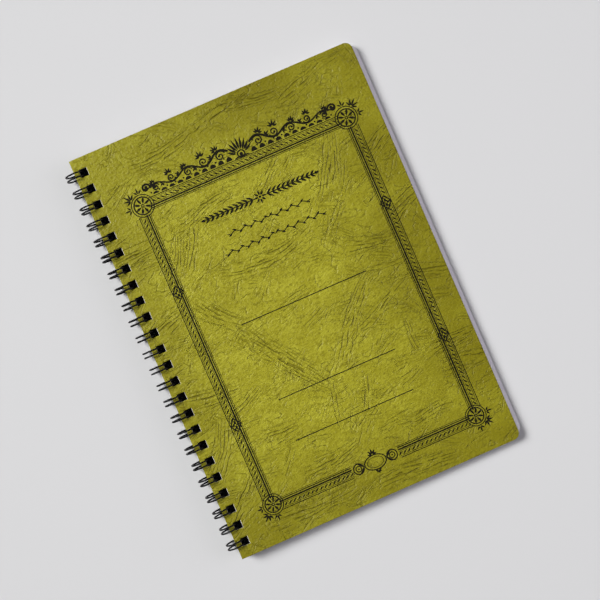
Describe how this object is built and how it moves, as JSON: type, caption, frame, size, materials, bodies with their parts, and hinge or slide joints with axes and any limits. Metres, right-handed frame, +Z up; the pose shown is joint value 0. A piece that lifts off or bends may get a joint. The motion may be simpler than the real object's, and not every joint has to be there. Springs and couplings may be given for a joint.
{
  "type": "twin-loop wire-bound notebook",
  "caption": "Closed A5 notebook with olive leather-look card covers, a sheet block and a black twin-loop wire along the spine; both covers turn on the wire.",
  "frame": {"origin": "centre of the back cover's underside", "axes": "+X from the spine to the fore edge, +Y from the foot to the head, +Z up out of the front cover"},
  "size_m": [0.1555, 0.21, 0.0098],
  "materials": {
    "cover_card": "laminated, leather-grained, satin",
    "paper": "matte",
    "coated_wire": "gloss coating"
  },
  "bodies": {
    "book": {"page_block": "paper", "binding_wire": "coated_wire"},
    "front": {"front_cover": "cover_card"},
    "back": {"back_cover": "cover_card"}
  },
  "joints": [
    {"name": "front_cover_hinge", "type": "hinge", "parent": "book", "child": "front", "pos_m": [-0.07395, 0, 0.003], "axis": [0, -1, 0], "range_deg": [0, 180]},
    {"name": "back_cover_hinge", "type": "hinge", "parent": "book", "child": "back", "pos_m": [-0.07395, 0, 0.0016], "axis": [0, 1, 0], "range_deg": [0, 60]}
  ]
}
